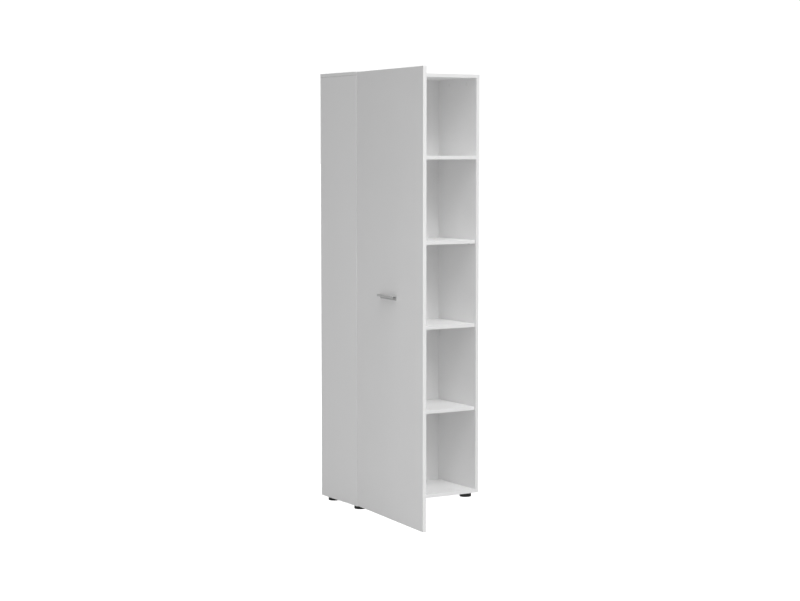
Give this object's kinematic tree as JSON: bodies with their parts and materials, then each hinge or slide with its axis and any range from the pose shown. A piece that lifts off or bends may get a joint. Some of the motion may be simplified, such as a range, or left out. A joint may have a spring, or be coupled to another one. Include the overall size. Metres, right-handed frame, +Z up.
{
  "type": "wardrobe",
  "caption": "Tall narrow white wardrobe cabinet with shelves inside, a hinged door standing open, a lip handle and round black feet.",
  "frame": {"origin": "on the floor, at the middle of the carcass in width and depth", "axes": "+X to the right as seen from the front, +Y to the back, +Z up"},
  "size_m": [0.7055, 0.9715, 1.95],
  "materials": {
    "white_board": "satin white faced board",
    "back_board": "satin white faced hardboard",
    "black_plastic": "matt moulded",
    "satin_aluminium": "satin anodised",
    "dowel_wood": "plain beech",
    "white_plastic": "smooth",
    "soft_pad": "translucent soft",
    "cast_zinc": "cast, dull",
    "hinge_steel": "nickel plated pressing",
    "angle_steel": "white coated",
    "screw_steel": "zinc plated"
  },
  "bodies": {
    "carcass": {"back_nails": "screw_steel", "back_panel": "back_board", "bottom_panel": "white_board", "cam_bolts": "screw_steel", "cam_caps": "white_plastic", "cam_locks": "cast_zinc", "fixed_shelf": "white_board", "foot_front_left": "black_plastic", "foot_front_right": "black_plastic", "foot_rear_left": "black_plastic", "foot_rear_right": "black_plastic", "foot_screws": "screw_steel", "hinge_arm_1": "hinge_steel", "hinge_arm_2": "hinge_steel", "hinge_arm_3": "hinge_steel", "hinge_arm_4": "hinge_steel", "hinge_arm_screws": "screw_steel", "hinge_plate_1": "hinge_steel", "hinge_plate_2": "hinge_steel", "hinge_plate_3": "hinge_steel", "hinge_plate_4": "hinge_steel", "hinge_plate_screws": "screw_steel", "left_side_panel": "white_board", "lower_shelf": "white_board", "middle_shelf": "white_board", "right_side_panel": "white_board", "shelf_pins": "screw_steel", "top_panel": "white_board", "upper_shelf": "white_board", "wall_angle_left": "angle_steel", "wall_angle_right": "angle_steel", "wall_angle_screws": "screw_steel", "wooden_dowels": "dowel_wood"},
    "door": {"door_bumpers": "soft_pad", "door_panel": "white_board", "handle": "satin_aluminium", "handle_screws": "screw_steel", "hinge_cup_1": "hinge_steel", "hinge_cup_2": "hinge_steel", "hinge_cup_3": "hinge_steel", "hinge_cup_4": "hinge_steel", "hinge_cup_screws": "screw_steel", "hinge_pins": "hinge_steel"}
  },
  "joints": [
    {"name": "door_swing", "type": "hinge", "parent": "carcass", "child": "door", "pos_m": [-0.3153, -0.1726, 0.9855], "axis": [0, 0, 1], "range_deg": [0, 95]}
  ]
}
